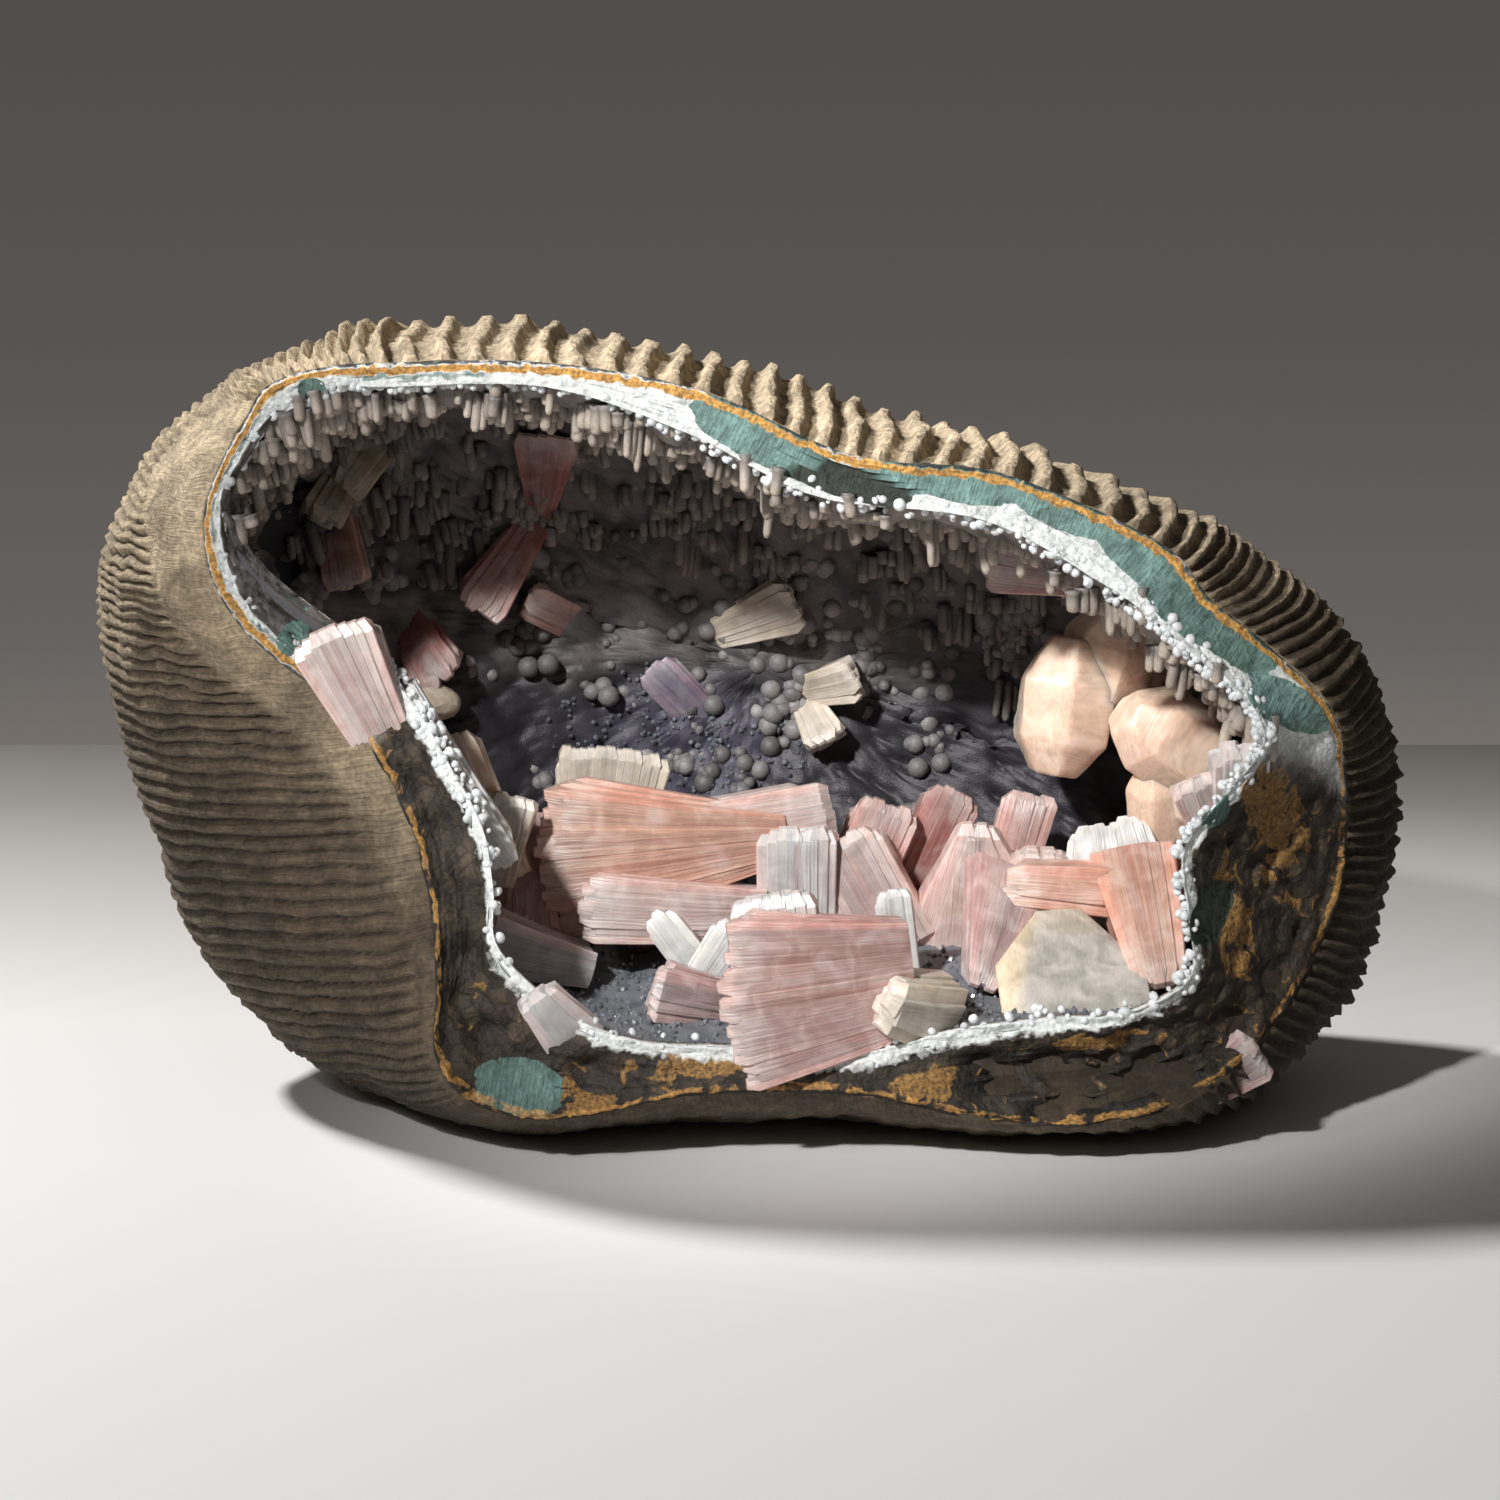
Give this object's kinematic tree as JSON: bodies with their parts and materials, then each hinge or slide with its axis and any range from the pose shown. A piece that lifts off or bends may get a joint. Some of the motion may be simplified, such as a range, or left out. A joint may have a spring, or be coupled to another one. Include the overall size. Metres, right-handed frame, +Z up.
{
  "type": "heulandite geode specimen",
  "caption": "Half-open basalt geode with ridged rind, lined with grey chalcedony fingers and holding pink heulandite bow-ties, peach stilbite and calcite.",
  "frame": {"origin": "middle of the flat patch under the rock, on the surface it rests on", "axes": "+Z up, +X to the right of a viewer who looks into the opening, +Y away from that viewer"},
  "size_m": [0.2464, 0.1296, 0.1443],
  "materials": {
    "basalt": "rough",
    "chalcedony": "waxy",
    "heulandite": "pearly",
    "peach_stilbite": "pearly",
    "cream_stilbite": "pearly",
    "calcite": "glassy"
  },
  "bodies": {
    "root": {"basalt_shell": "basalt", "calcite_block": "calcite", "chalcedony_crust": "chalcedony", "heulandite_back_blade": "heulandite", "heulandite_bottom_right": "heulandite", "heulandite_bowtie": "heulandite", "heulandite_floor_piece": "heulandite", "heulandite_front_fan": "heulandite", "heulandite_front_left": "heulandite", "heulandite_left_blade": "heulandite", "heulandite_left_point": "heulandite", "heulandite_left_sheaf": "heulandite", "heulandite_middle_bed": "heulandite", "heulandite_right_bed": "heulandite", "heulandite_right_rim": "heulandite", "heulandite_rim_fan": "heulandite", "heulandite_roof_blade": "heulandite", "heulandite_roof_fan": "heulandite", "heulandite_roof_right": "heulandite", "heulandite_wall_blade": "heulandite", "heulandite_wall_prism": "heulandite", "stilbite_cream_fan": "cream_stilbite", "stilbite_cream_prism": "cream_stilbite", "stilbite_floor_blade_a": "cream_stilbite", "stilbite_floor_blade_b": "cream_stilbite", "stilbite_floor_blade_c": "cream_stilbite", "stilbite_left_fan": "cream_stilbite", "stilbite_left_tan": "cream_stilbite", "stilbite_peach_lower": "peach_stilbite", "stilbite_peach_upper": "peach_stilbite", "stilbite_pebble": "cream_stilbite", "stilbite_rim_plate": "cream_stilbite", "stilbite_wall_petal_a": "cream_stilbite", "stilbite_wall_petal_b": "cream_stilbite", "stilbite_wall_sheaf": "cream_stilbite", "stilbite_white_plate": "cream_stilbite"}
  },
  "joints": []
}
